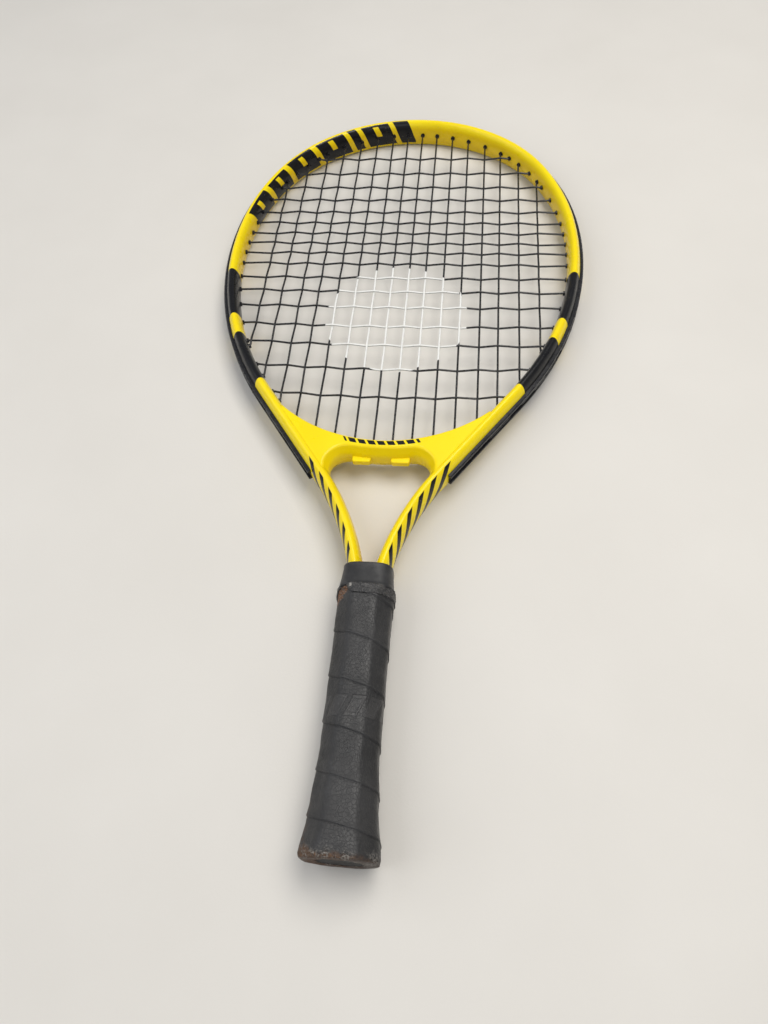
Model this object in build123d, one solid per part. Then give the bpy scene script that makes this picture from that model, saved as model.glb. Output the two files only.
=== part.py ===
"""Junior tennis racket, 21 inches long, as an assembly of separate pieces.

Frame: millimetres, +Z up, +Y from the butt to the head, +X to the right. The origin is the
middle of the butt end's flat face, and the string bed lies in the plane z = 0, so the racket
lies flat. The hoop and both legs are one bent aluminium tube, mirror-symmetric about x = 0.
"""
from build123d import *
from math import cos, degrees, hypot, pi, radians, sin
import os

# ---------------------------------------------------------------- driving dimensions
LENGTH = 533.4             # butt face to the outside of the bumper guard: 21 inches

TUBE_HALF_WIDTH = 4.2      # oval tube, across it in the string plane
TUBE_HALF_HEIGHT = 9.7     # oval tube, across the string plane
BORE_HALF_WIDTH = 3.05     # hollow of the tube
BORE_HALF_HEIGHT = 8.85
BORE_SHIFT = -0.35         # the outer wall is thicker, for the groove
GROOVE_FLOOR = 3.45        # shallow seat for the grommet strips, from the tube's middle
GROOVE_HALF_HEIGHT = 4.1

GUARD_TOP = 6.0            # outer face of the strips and the guard, from the tube's middle
STRIP_HALF_HEIGHT = 3.9
STRIP_CHAMFER = 0.6
GUARD_HALF_HEIGHT = 5.6
STRIP_GAP = 0.2            # between the guard and each strip
CHANNEL_FLOOR = 4.5        # floor of the channel that the outside string loops lie in
CHANNEL_HALF_HEIGHT = 2.15

HEAD_ARCS = ((108.0, 62.0), (168.0, 20.0), (216.0, 43.5))   # radius, turn in degrees
FLANK_STRAIGHT = 72.0
LEG_ARCS = ((165.0, 21.5), (50.0, 14.0))                    # they bend back to the handle
LEG_END_Y = 24.0

STRING_RADIUS = 0.65
BORE_RADIUS = 1.0          # string bore in a grommet barrel
BARREL_RADIUS = 1.5
BARREL_HOLE_RADIUS = 1.6
BARREL_TIP = 5.2           # barrel tip, inwards from the tube's middle
BARREL_ROOT = 3.8          # a barrel starts here, inside its strip
FUNNEL_DEPTH = 0.8         # flared mouth of a barrel, below the channel's floor
FUNNEL_RADIUS = 1.8
FUNNEL_LENGTH = 1.2
BARREL_LEAN = 0.25         # share of the string's direction in the barrel's direction
MAINS_X = (5.6, 16.8, 29.0, 41.2, 54.0, 65.8, 79.1, 92.2)   # eight each side
CROSSES_Y = (492.8, 474.9, 458.6, 444.4, 430.7, 418.9, 408.0, 397.5, 387.4,
             376.4, 363.1, 350.4, 336.3, 319.5, 303.6, 283.8, 261.8)
FIRST_BOWED_CROSS = 10     # crosses from here down sag towards the throat
CROSS_BOW_STEP = 0.4       # more sag in each one
WEAVE_HEIGHT = 0.72        # string's middle above or below the bed at a crossing
WEAVE_RADIUS = 12.0        # bend of a string over another
HOLE_MARGIN = 2.6          # a cross is still straight this near to its own hole
STEEP_PEAK = 1.6           # a main that passes a cross there is bent on its own
STEEP_RADIUS = 6.0
LOOP_RADIUS = 1.4          # bend of a string at the mouth of a barrel
ENTRY_RADIUS = 3.0         # bend of a string at a barrel's tip
LOOP_LINE = CHANNEL_FLOOR + STRING_RADIUS + 0.15
LOOP_LANE = 1.45           # a loop that passes a hole keeps this far from the channel's middle
KNOT_LINE = 5.6            # tied-off string end, from the tube's middle line
KNOT_LANE = 2.2
KNOT_REACH = 7.0           # length along the tube from the hole to the string's cut end
KNOT_SHARE = 0.66          # the knot sits at this share of the end's length
KNOT_MAJOR = 1.15
KNOT_MINOR = 0.45
POCKET_FLOOR = 3.85        # recess round a tied-off end, from the tube's middle line
POCKET_WIDTH = 3.4
POCKET_MARGIN = 0.6        # the recess runs past the hole and past the string's tip by this

YOKE_HALF_HEIGHT = 9.0
YOKE_STRING_RADIUS = 1.4   # rounding of the yoke's edges on the string side
YOKE_SLOPE_WIDTH = 3.0     # its throat side leans in by this, over this height
YOKE_SLOPE_HEIGHT = 6.0
YOKE_RIDGE_RADIUS = 2.0
YOKE_SIDE_RADIUS = 8.0
YOKE_HEAD_RADIUS = 91.0    # string side of the yoke, an arc about YOKE_HEAD_CENTRE_Y
YOKE_HEAD_CENTRE_Y = 312.0
YOKE_THROAT_Y = 212.6      # throat side of the yoke, in the middle
YOKE_THROAT_RADIUS = 115.0
YOKE_CORNER_RADIUS = 10.0
YOKE_THROAT_RISE = 2.5     # the throat side rises by less than this towards the wings
THROAT_SIDES = (25.0, -18.0)    # straight sides of the throat, from the flank's end
YOKE_FOOT_Y = 196.0        # the yoke's feet end here, on the legs
YOKE_FOOT_MIDDLE_X = 30.4  # parts a foot's throat side from the tube that it hugs
YOKE_TIP_X = 61.5          # its wings end here
YOKE_WALL = 1.0            # thickness of a foot
PAD_HALF_HEIGHT = 2.0      # pads that cover the string loops on the throat side
PAD_LENGTH = 10.8
PAD_DEPTH = 5.0
PAD_PROUD = 2.5            # a pad stands out this far from the throat side
PAD_CORNER_RADIUS = 1.6
PAD_FACE_RADIUS = 0.7
THROAT_LOOP_Y = 215.2      # string loops behind the pads
POCKET_LINE = 5.7          # a wing's hidden string loop, inwards from the tube's middle
POCKET_LOOP_Y = 208.6
BORE_START_Y = 245.0       # the yoke's bores are drilled from here, clear of its string side
FIT_GAP = 0.05
BEVEL_GROWTH = 2 - 2 ** 0.5     # growth of a 45 degree bevel when its sides move out by 1

HANDLE_HALF_WIDTH = 12.6   # bare octagonal handle
HANDLE_HALF_HEIGHT = 11.5
HANDLE_BEVEL = 6.6
HANDLE_TOP_Y = 127.7
CAP_FLARE_HALF_WIDTH = 16.1
CAP_FLARE_HALF_HEIGHT = 15.0
CAP_BEVEL = 8.6
CAP_NECK_HALF_WIDTH = 13.7
CAP_NECK_HALF_HEIGHT = 12.6
CAP_NECK_BEVEL = 7.2
CAP_FLARE_Y = 6.0          # the flare is full width up to here
CAP_NECK_Y = 30.0
CAP_TOP_Y = 34.0
CAP_FLOOR = 2.6
TAPE = 1.5                 # thickness of the wound grip
TAPE_START_Y = 0.7
TAPE_NECK_Y = 42.0         # the grip is down to its plain thickness here, above the cap
TAPE_TOP_Y = 127.5
TAPE_TOP_GROWTH = 0.6      # the last turns are wound thicker below the collar
BAND_LOW_Y = 122.8         # finishing tape
TAPE_SWELL_Y = 98.0        # the grip starts to thicken here
BAND_THICKNESS = 0.35
COLLAR_LOW_Y = 127.9
COLLAR_TOP_Y = 141.0
COLLAR_LOW = (14.1, 12.5)  # half width and half height
COLLAR_TOP = (12.9, 11.4)
COLLAR_WALL = 1.2
COLLAR_CORNER_RADIUS = 6.0
SPACER_LOW_Y = 30.0
SPACER_HIGH_Y = 118.0
SPACER_HEIGHT = 12.0
SPACER_CHAMFER = 0.5
STAPLE_WIRE = 0.45         # radius
STAPLE_HALF_CROWN = 4.0
STAPLE_DEPTH = 3.6
STAPLE_Y = 22.0
STAPLE_ROOM = 1.2          # room round a staple's crown, under the grip
STAPLE_ROOM_HEIGHT = 2.2

TOP_Y = LENGTH - GUARD_TOP   # middle of the tube at the top of the head


# ---------------------------------------------------------------- line of the tube
def centreline_legs():
    """Right half of the tube's middle line: (x, y, heading, kind, size, turn) of each run.

    The heading turns clockwise from +X, so 90 degrees points to the handle.
    """
    runs = []
    x, y, heading = 0.0, TOP_Y, 0.0
    shape = [("arc", radius, turn) for radius, turn in HEAD_ARCS]
    shape.append(("line", FLANK_STRAIGHT, 0.0))
    shape.extend(("arc", radius, -turn) for radius, turn in LEG_ARCS)
    for kind, size, turn in shape:
        runs.append((x, y, heading, kind, size, turn))
        x, y, heading = step(runs[-1], 1.0)
    runs.append((x, y, heading, "line", y - LEG_END_Y, 0.0))
    return runs


def step(run, share):
    """Point and heading at a share of one run."""
    x, y, heading, kind, size, turn = run
    start = radians(heading)
    if kind == "line":
        return x + share * size * cos(start), y - share * size * sin(start), heading
    side = 1 if turn > 0 else -1
    end = radians(heading + turn * share)
    centre_x = x - side * size * sin(start)
    centre_y = y - side * size * cos(start)
    return centre_x + side * size * sin(end), centre_y + side * size * cos(end), degrees(end)


RUNS = centreline_legs()


def run_length(run):
    return run[4] if run[3] == "line" else run[4] * abs(radians(run[5]))


HEAD_END = sum(run_length(run) for run in RUNS[:4])    # distance to the end of the flank
ALL_LENGTH = sum(run_length(run) for run in RUNS)


def middle(distance):
    """Point and heading at a distance along the right half, from the top of the head."""
    for run in RUNS:
        length = run_length(run)
        if distance <= length:
            return step(run, distance / length)
        distance -= length
    return step(RUNS[-1], 1.0)


def beside(distance, out):
    """Point at a distance along the tube, and out from its middle line (inwards if negative)."""
    x, y, heading = middle(distance)
    return x + out * sin(radians(heading)), y + out * cos(radians(heading))


def outward(distance):
    heading = radians(middle(distance)[2])
    return sin(heading), cos(heading)


def find(test, low, high):
    """Distance at which test changes sign."""
    below = test(low) < 0
    for _ in range(50):
        half = (low + high) / 2
        if (test(half) < 0) == below:
            low = half
        else:
            high = half
    return low


WIDEST = find(lambda s: middle(s)[2] - 90, 0.0, HEAD_END)


def tube_wire(start, end):
    """The tube's middle line on the right half between two distances."""
    edges = []
    passed = 0.0
    for run in RUNS:
        length = run_length(run)
        low = max(start, passed)
        high = min(end, passed + length)
        if high - low > 0.01:
            points = [middle(low)[:2], middle((low + high) / 2)[:2], middle(high)[:2]]
            if run[3] == "line":
                edges.append(Line(points[0], points[2]).edge())
            else:
                edges.append(ThreePointArc(*points).edge())
        passed += length
    return edges


def mirrored(shape):
    return mirror(shape, about=Plane.YZ)


def swept(section, edges, start):
    """Section swept along edges; its local x axis points out of the hoop."""
    out = outward(start)
    x, y = middle(start)[:2]
    plane = Plane(origin=(x, y, 0), x_dir=(out[0], out[1], 0), z_dir=(out[1], -out[0], 0))
    return sweep(plane * section, path=Wire(edges))


# ---------------------------------------------------------------- string holes
class Hole:
    """Where one end of a string crosses the tube, on the right half."""

    def __init__(self, distance, direction):
        self.distance = distance
        self.tip = beside(distance, -BARREL_TIP)
        out = outward(distance)
        lean = (out[0] + BARREL_LEAN * direction[0], out[1] + BARREL_LEAN * direction[1])
        size = hypot(*lean)
        self.lean = (lean[0] / size, lean[1] / size)
        self.slope = self.lean[0] * out[0] + self.lean[1] * out[1]

    def at(self, out):
        """Point of the hole's axis at a height over the tube's middle line."""
        reach = (out + BARREL_TIP) / self.slope
        return self.tip[0] + self.lean[0] * reach, self.tip[1] + self.lean[1] * reach

    def cylinder(self, radius, low, high):
        start = self.at(low)
        end = self.at(high)
        axis = (self.lean[0], self.lean[1], 0)
        plane = Plane(origin=(start[0], start[1], 0), z_dir=axis)
        length = hypot(end[0] - start[0], end[1] - start[1])
        return plane * Cylinder(radius, length, align=(Align.CENTER, Align.CENTER, Align.MIN))

    def funnel(self):
        """Flared mouth of the bore, where the string turns into the channel."""
        start = self.at(CHANNEL_FLOOR - FUNNEL_DEPTH)
        axis = (self.lean[0], self.lean[1], 0)
        plane = Plane(origin=(start[0], start[1], 0), z_dir=axis)
        return plane * Cone(BORE_RADIUS, FUNNEL_RADIUS, FUNNEL_LENGTH,
                            align=(Align.CENTER, Align.CENTER, Align.MIN))


def head_hole(x):
    return Hole(find(lambda s: beside(s, -BARREL_TIP)[0] - x, 0.0, WIDEST), (0, 1))


def flank_hole(x):
    return Hole(find(lambda s: beside(s, -BARREL_TIP)[0] - x, WIDEST, HEAD_END), (0, -1))


def side_hole(y):
    return Hole(find(lambda s: beside(s, -BARREL_TIP)[1] - y, 0.0, HEAD_END), (1, 0))


HEAD_HOLES = [head_hole(x) for x in MAINS_X]
FLANK_HOLES = {x: flank_hole(x) for x in MAINS_X[4:]}
SIDE_HOLES = [side_hole(y) for y in CROSSES_Y]
ALL_HOLES = HEAD_HOLES + list(FLANK_HOLES.values()) + SIDE_HOLES
GUARD_END = (HEAD_HOLES[5].distance + SIDE_HOLES[0].distance) / 2   # between two holes
STRIP_END = HEAD_END - 4.0


# ---------------------------------------------------------------- tube, strips, guard
def frame_tube():
    """One hollow oval tube: the hoop and both legs, grooved and drilled for the strings."""
    bore = Pos(BORE_SHIFT, 0) * Ellipse(BORE_HALF_WIDTH, BORE_HALF_HEIGHT)
    section = Ellipse(TUBE_HALF_WIDTH, TUBE_HALF_HEIGHT) - bore
    half = swept(section, tube_wire(0.0, ALL_LENGTH), 0.0)
    deep = TUBE_HALF_WIDTH - GROOVE_FLOOR + 1
    seat = Pos(GROOVE_FLOOR + deep / 2, 0) * Rectangle(deep, 2 * GROOVE_HALF_HEIGHT)
    half -= swept(seat, tube_wire(0.0, STRIP_END + FIT_GAP), 0.0)
    drills = [hole.cylinder(BARREL_HOLE_RADIUS, -BARREL_TIP - 1, GUARD_TOP) for hole in ALL_HOLES]
    half -= drills
    return half + mirrored(half)


def strip_section(half_height):
    """Grommet strip: a flat band in the groove, with a channel for the string loops."""
    wide = min(half_height, STRIP_HALF_HEIGHT)
    floor = GROOVE_FLOOR + FIT_GAP
    band = Pos((floor + GUARD_TOP) / 2, 0) * Rectangle(GUARD_TOP - floor, 2 * wide)
    band = chamfer(band.vertices().group_by(Axis.X)[-1], STRIP_CHAMFER)
    if half_height > STRIP_HALF_HEIGHT:
        cap = Ellipse(GUARD_TOP, TUBE_HALF_HEIGHT) & Pos(GUARD_TOP, 0) * Rectangle(
            2 * GUARD_TOP, 2 * half_height)
        cap -= Ellipse(TUBE_HALF_WIDTH + FIT_GAP, TUBE_HALF_HEIGHT + FIT_GAP)
        band += cap
    deep = GUARD_TOP - CHANNEL_FLOOR + 1
    return band - Pos(CHANNEL_FLOOR + deep / 2, 0) * Rectangle(deep, 2 * CHANNEL_HALF_HEIGHT)


def add_barrels(strip, holes):
    """Barrels that line the tube's holes, bored for the string."""
    strip += [hole.cylinder(BARREL_RADIUS, -BARREL_TIP, BARREL_ROOT) for hole in holes]
    strip -= [hole.cylinder(BORE_RADIUS, -BARREL_TIP - 1, GUARD_TOP + 1) for hole in holes]
    return strip - [hole.funnel() for hole in holes]


class TiedEnd:
    """A string's tied-off end, which turns along the channel, towards +1 or -1 along the tube."""

    def __init__(self, hole, toward, lane):
        self.start = hole.distance
        self.toward = toward
        self.side = 1 if lane > 0 else -1
        self.mouth = (*hole.at(LOOP_LINE), 0)
        self.tip = (*beside(self.start + toward * KNOT_REACH, KNOT_LINE), lane)

    def pocket(self):
        """Recess in the strip, beside the channel."""
        near = self.start - self.toward * POCKET_MARGIN
        far = self.start + self.toward * (KNOT_REACH + POCKET_MARGIN)
        low, high = sorted((near, far))
        line = ThreePointArc(*(middle(s)[:2] for s in (low, (low + high) / 2, high))).edge()
        deep = GUARD_TOP - POCKET_FLOOR + 1
        centre = Pos(POCKET_FLOOR + deep / 2, self.side * POCKET_WIDTH / 2)
        return swept(centre * Rectangle(deep, POCKET_WIDTH), [line], low)


MAIN_END = TiedEnd(HEAD_HOLES[-1], -1, -KNOT_LANE)      # the same on both sides
CROSS_START = TiedEnd(SIDE_HOLES[0], 1, KNOT_LANE)      # on the right side
CROSS_END = TiedEnd(SIDE_HOLES[-1], -1, KNOT_LANE)      # on the left side


def bumper_guard():
    """Guard over the top of the head, with the barrels of the middle twelve mains."""
    half = swept(strip_section(GUARD_HALF_HEIGHT), tube_wire(0.0, GUARD_END), 0.0)
    half = add_barrels(half, [hole for hole in HEAD_HOLES if hole.distance < GUARD_END])
    return half + mirrored(half)


def side_strip(ends):
    """Strip down one side, from the guard to the yoke's wing, with recesses for tied-off ends."""
    start = GUARD_END + STRIP_GAP
    strip = swept(strip_section(STRIP_HALF_HEIGHT), tube_wire(start, STRIP_END), start)
    strip -= [end.pocket() for end in ends]
    return add_barrels(strip, [hole for hole in ALL_HOLES if hole.distance > GUARD_END])


def right_grommet_strip():
    return side_strip((MAIN_END, CROSS_START))


def left_grommet_strip():
    """Here the last cross is tied off, and not the first."""
    return mirrored(side_strip((MAIN_END, CROSS_END)))


# ---------------------------------------------------------------- yoke
def throat_gap():
    """Outline of the open throat under the yoke."""
    side = [beside(HEAD_END + past, -TUBE_HALF_WIDTH - YOKE_WALL) for past in THROAT_SIDES]
    rise = YOKE_THROAT_RADIUS - (YOKE_THROAT_RADIUS ** 2 - side[1][0] ** 2) ** 0.5
    corner_y = YOKE_THROAT_Y + rise
    reach = (corner_y - side[0][1]) / (side[1][1] - side[0][1])
    corner = (side[0][0] + (side[1][0] - side[0][0]) * reach, corner_y)
    left_low = (-side[0][0], side[0][1])
    left_corner = (-corner[0], corner[1])
    edges = [
        Line(left_low, left_corner).edge(),
        ThreePointArc(left_corner, (0, YOKE_THROAT_Y), corner).edge(),
        Line(corner, side[0]).edge(),
        Line(side[0], left_low).edge(),
    ]
    gap = make_face(edges)
    top_corners = gap.vertices().sort_by(Axis.Y)[-2:]
    return fillet(top_corners, YOKE_CORNER_RADIUS)


def level_edges(solid, height):
    """Edges that lie level at this height, above or below the string plane, with their middles."""
    found = []
    for edge in solid.edges():
        point = edge @ 0.5
        if abs(abs(point.Z) - height) < 0.01 and abs((edge % 0.5).Z) < 0.01:
            found.append((edge, point))
    return found


def string_edges(solid):
    """Edges of the yoke along its string side."""
    reach = YOKE_HEAD_RADIUS
    edges = level_edges(solid, YOKE_HALF_HEIGHT)
    return [edge for edge, at in edges if abs(hypot(at.X, at.Y - YOKE_HEAD_CENTRE_Y) - reach) < 0.05]


def throat_edges(solid, height, inset=0.0):
    """Edges of the yoke round the open throat at this height, set back by inset."""
    chosen = []
    for edge, at in level_edges(solid, height):
        across = abs(at.X) < YOKE_FOOT_MIDDLE_X
        along = YOKE_FOOT_Y + 0.1 < at.Y < YOKE_THROAT_Y + YOKE_THROAT_RISE + inset
        if across and along:
            chosen.append(edge)
    return chosen


def rounded_yoke(yoke):
    """Round the string side's edges, and lean the throat side in with a soft ridge."""
    yoke = yoke.fillet(YOKE_STRING_RADIUS, string_edges(yoke))
    for side, place in ((-1, 0), (1, -1)):
        face = yoke.faces().sort_by(Axis.Z)[place]
        edges = [edge for edge in throat_edges(yoke, YOKE_HALF_HEIGHT) if (edge @ 0.5).Z * side > 0]
        yoke = yoke.chamfer(YOKE_SLOPE_WIDTH, YOKE_SLOPE_HEIGHT, edges, face)
    yoke = yoke.fillet(YOKE_RIDGE_RADIUS, throat_edges(yoke, YOKE_HALF_HEIGHT, YOKE_SLOPE_WIDTH))
    return yoke.fillet(YOKE_SIDE_RADIUS, throat_edges(yoke, YOKE_HALF_HEIGHT - YOKE_SLOPE_HEIGHT))


def throat_yoke():
    """Moulded bridge between the legs, which closes the head and carries the middle mains."""
    right = [middle(s)[:2] for s in (HEAD_END + 12, HEAD_END + 6, HEAD_END, HEAD_END - FLANK_STRAIGHT)]
    left = [(-x, y) for x, y in reversed(right)]
    plan = make_face(Polyline(*right, *left, close=True))
    plan -= Pos(0, YOKE_HEAD_CENTRE_Y) * Circle(YOKE_HEAD_RADIUS)
    plan &= Pos(0, YOKE_FOOT_Y + 50) * Rectangle(2 * YOKE_TIP_X, 100)
    plan -= throat_gap()
    yoke = rounded_yoke(extrude(plan, YOKE_HALF_HEIGHT, both=True).solid())
    loops = [(sum(MAINS_X[:2]) / 2 * side) for side in (-1, 1)]
    for x in loops:
        pad = Box(PAD_LENGTH, PAD_DEPTH, 2 * PAD_HALF_HEIGHT)
        pad = fillet(pad.edges().filter_by(Axis.Z).sort_by(Axis.Y)[:2], PAD_CORNER_RADIUS)
        pad = fillet(pad.faces().sort_by(Axis.Y)[0].edges(), PAD_FACE_RADIUS)
        yoke += Pos(x, YOKE_THROAT_Y - PAD_PROUD + PAD_DEPTH / 2, 0) * pad
    around = Ellipse(TUBE_HALF_WIDTH + FIT_GAP, TUBE_HALF_HEIGHT + FIT_GAP)
    hugging = swept(around, tube_wire(HEAD_END - 72, HEAD_END + 30), HEAD_END - 72)
    yoke -= [hugging, mirrored(hugging)]
    return yoke - yoke_bores()


def yoke_bores():
    """Bores for the middle mains, joined in pairs by tunnels, and for the fifth and sixth."""
    first, second, third, fourth = MAINS_X[:4]
    bores = []
    for near, far in ((first, second), (third, fourth)):
        points = [(near, BORE_START_Y, 0, 0), *throat_turn(near, far), (far, BORE_START_Y, 0, 0)]
        bores.append(round_bar(points, BORE_RADIUS)[0])
    bores.extend(FLANK_HOLES[x].cylinder(BARREL_HOLE_RADIUS, -9, 0) for x in MAINS_X[4:6])
    return bores + [mirrored(bore) for bore in bores]


def pocket_corner():
    """Where the fourth main turns to run along the tube, inside the yoke's wing."""
    distance = find(lambda s: beside(s, -POCKET_LINE)[0] - MAINS_X[3], WIDEST, HEAD_END + 10)
    return MAINS_X[3], beside(distance, -POCKET_LINE)[1]


def pocket_knee():
    """Where the hidden loop turns from the tube's line towards the third main."""
    distance = find(lambda s: beside(s, -POCKET_LINE)[1] - POCKET_LOOP_Y, WIDEST, HEAD_END + 10)
    return beside(distance, -POCKET_LINE)[0], POCKET_LOOP_Y


# ---------------------------------------------------------------- strings
def crossing_y(row, x):
    """Height of a cross on a main: the lower crosses bow towards the throat."""
    bow = max(0, row - FIRST_BOWED_CROSS + 1) * CROSS_BOW_STEP
    half = SIDE_HOLES[row].tip[0]
    return CROSSES_Y[row] - bow * (1 - (x / half) ** 2)


def crosses_main(row, x):
    """Whether a cross and a main bend over each other."""
    return abs(x) < SIDE_HOLES[row].tip[0] - HOLE_MARGIN


def passes_hole(row, x):
    """Whether a main passes a cross close to the cross's own hole."""
    tip_x = SIDE_HOLES[row].tip[0]
    return tip_x - HOLE_MARGIN <= abs(x) < tip_x


def weave(row, column):
    """Side of the bed on which the main runs at a crossing: +1 above, -1 below."""
    return 1 if (row + column) % 2 == 0 else -1


WEAVE_PEAK = WEAVE_HEIGHT + 0.06    # corner of the route, which the bend rounds off


def outside_loop(first, second, side, lane):
    """Route points of a loop in the channel between two holes, with the bend at each."""
    low, high = sorted((first.distance, second.distance))
    passed = [hole for hole in ALL_HOLES if low < hole.distance < high]
    points = [(*first.at(LOOP_LINE), 0, LOOP_RADIUS)]
    if passed:
        points.append((*passed[0].at(LOOP_LINE), lane, 4 * LOOP_RADIUS))
    elif high < HEAD_END - FLANK_STRAIGHT:
        points.append((*beside((low + high) / 2, LOOP_LINE), 0, 4 * LOOP_RADIUS))
    points.append((*second.at(LOOP_LINE), 0, LOOP_RADIUS))
    return [(side * x, y, z, bend) for x, y, z, bend in points]


def main_points():
    """Route of the main string, main by main from left to right."""
    columns = [-x for x in reversed(MAINS_X)] + list(MAINS_X)
    route = []
    for column, x in enumerate(columns):
        side = -1 if x < 0 else 1
        head = HEAD_HOLES[MAINS_X.index(abs(x))]
        down = [(x, head.tip[1], 0, ENTRY_RADIUS)]
        for row in range(len(CROSSES_Y)):
            if crosses_main(row, x):
                down.append((x, crossing_y(row, x), weave(row, column) * WEAVE_PEAK, WEAVE_RADIUS))
            elif passes_hole(row, x):
                down.append((x, CROSSES_Y[row], weave(row, column) * STEEP_PEAK, STEEP_RADIUS))
        if abs(x) in FLANK_HOLES:
            down.append((x, FLANK_HOLES[abs(x)].tip[1], 0, ENTRY_RADIUS))
        else:
            down.append((x, yoke_entry(x), 0, WEAVE_RADIUS))
        route.append((x, side, head, down))
    return join_mains(route)


def yoke_entry(x):
    """Where a main meets the yoke's string side."""
    return YOKE_HEAD_CENTRE_Y - (YOKE_HEAD_RADIUS ** 2 - x ** 2) ** 0.5


def throat_turn(left, right):
    """Loop of two neighbouring mains at the throat end."""
    side = -1 if left < 0 else 1
    near, far = sorted((abs(left), abs(right)))
    if far <= MAINS_X[1]:
        turn = [(side * near, THROAT_LOOP_Y, 0, LOOP_RADIUS), (side * far, THROAT_LOOP_Y, 0, LOOP_RADIUS)]
    elif far <= MAINS_X[3]:
        knee = pocket_knee()
        bend = pocket_corner()
        turn = [(side * near, POCKET_LOOP_Y, 0, LOOP_RADIUS), (side * knee[0], knee[1], 0, LOOP_RADIUS),
                (side * bend[0], bend[1], 0, LOOP_RADIUS)]
    else:
        turn = outside_loop(FLANK_HOLES[near], FLANK_HOLES[far], side, -LOOP_LANE)
    return turn if abs(left) < abs(right) else turn[::-1]


def join_mains(route):
    """Join the mains in pairs at the throat, and each pair to the next at the head."""
    mouth, tip = MAIN_END.mouth, MAIN_END.tip
    points = [(-tip[0], tip[1], tip[2], 0), (-mouth[0], mouth[1], 0, LOOP_RADIUS)]
    for index, (x, side, head, down) in enumerate(route):
        heads_down = index % 2 == 0
        points.extend(down if heads_down else down[::-1])
        if index == len(route) - 1:
            break
        other_x, other_side, other_head, _ = route[index + 1]
        if heads_down:
            points.extend(throat_turn(x, other_x))
        elif x < 0 < other_x:
            start_x, start_y = head.at(LOOP_LINE)
            points.append((-start_x, start_y, 0, LOOP_RADIUS))
            points.append((0, TOP_Y + LOOP_LINE, 0, 4 * LOOP_RADIUS))
            points.append((start_x, start_y, 0, LOOP_RADIUS))
        else:
            points.extend(outside_loop(head, other_head, side, -LOOP_LANE))
    return points + [(mouth[0], mouth[1], 0, LOOP_RADIUS), (*tip, 0)]


def cross_points():
    """Route of the cross string, from the top right to the lower left."""
    columns = [-x for x in reversed(MAINS_X)] + list(MAINS_X)
    points = [(*CROSS_START.tip, 0), (*CROSS_START.mouth, LOOP_RADIUS)]
    for row, y in enumerate(CROSSES_Y):
        hole = SIDE_HOLES[row]
        across = [(-hole.tip[0], y, 0, ENTRY_RADIUS)]
        for column, x in enumerate(columns):
            if crosses_main(row, x):
                across.append((x, crossing_y(row, x), -weave(row, column) * WEAVE_PEAK, WEAVE_RADIUS))
        across.append((hole.tip[0], y, 0, ENTRY_RADIUS))
        leftwards = row % 2 == 0
        points.extend(across[::-1] if leftwards else across)
        if row < len(CROSSES_Y) - 1:
            points.extend(outside_loop(hole, SIDE_HOLES[row + 1], -1 if leftwards else 1, LOOP_LANE))
    mouth, tip = CROSS_END.mouth, CROSS_END.tip
    return points + [(-mouth[0], mouth[1], 0, LOOP_RADIUS), (-tip[0], tip[1], tip[2], 0)]


def round_bar(points, radius):
    """Round bar along straight runs joined by tangent arcs, and its length."""
    corners = [Vector(*point[:3]) for point in points]
    edges = []
    last = corners[0]
    for before, corner, after, point in zip(corners, corners[1:], corners[2:], points[1:]):
        into = (corner - before).normalized()
        away = (after - corner).normalized()
        half_turn = radians(into.get_angle(away)) / 2
        reach = point[3] * sin(half_turn) / cos(half_turn)
        start = corner - into * reach
        end = corner + away * reach
        bulge = point[3] * (1 / cos(half_turn) - 1)
        peak = corner + (away - into).normalized() * bulge
        edges.append(Edge.make_line(last, start))
        edges.append(Edge.make_three_point_arc(start, peak, end))
        last = end
    edges.append(Edge.make_line(last, corners[-1]))
    section = Plane(origin=corners[0], z_dir=corners[1] - corners[0]) * Circle(radius)
    solid = sweep(section, path=Wire(edges), transition=Transition.RIGHT)
    return solid, sum(edge.length for edge in edges)


def string_solid(points):
    """One continuous string; prints its length, and its volume as a share of what that gives."""
    solid, length = round_bar(points, STRING_RADIUS)
    share = solid.volume / (length * pi * STRING_RADIUS ** 2)
    print(f"string {length:.0f} mm, volume share {share:.4f}")
    return solid


def tie_off_knots():
    """Knots round the four string ends, in the strips' pockets."""
    knots = []
    for end, sides in ((MAIN_END, (-1, 1)), (CROSS_START, (1,)), (CROSS_END, (-1,))):
        mouth, tip = Vector(*end.mouth), Vector(*end.tip)
        plane = Plane(origin=mouth + (tip - mouth) * KNOT_SHARE, z_dir=tip - mouth)
        knot = plane * Torus(KNOT_MAJOR, KNOT_MINOR)
        knots.extend(knot if side > 0 else mirrored(knot) for side in sides)
    return Compound(children=knots)


# ---------------------------------------------------------------- handle
def octagon(half_width, half_height, bevel):
    """Outline of a handle section in the XZ plane."""
    corner_x = half_width - bevel
    corner_z = half_height - bevel
    points = []
    for sx, sz, wide_first in ((1, 1, True), (-1, 1, False), (-1, -1, True), (1, -1, False)):
        pair = [(sx * half_width, sz * corner_z), (sx * corner_x, sz * half_height)]
        points.extend(pair if wide_first else pair[::-1])
    return make_face(Polyline(*points, close=True))


def at_y(face, y):
    """Place a section, drawn with x across and y up, square to the handle at y."""
    return Plane(origin=(0, y, 0), x_dir=(1, 0, 0), z_dir=(0, -1, 0)) * face


def prism(sections):
    """Ruled solid through sections given as (y, half width, half height, bevel)."""
    faces = [at_y(octagon(*size), y) for y, *size in sections]
    return loft(faces, ruled=True)


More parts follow.
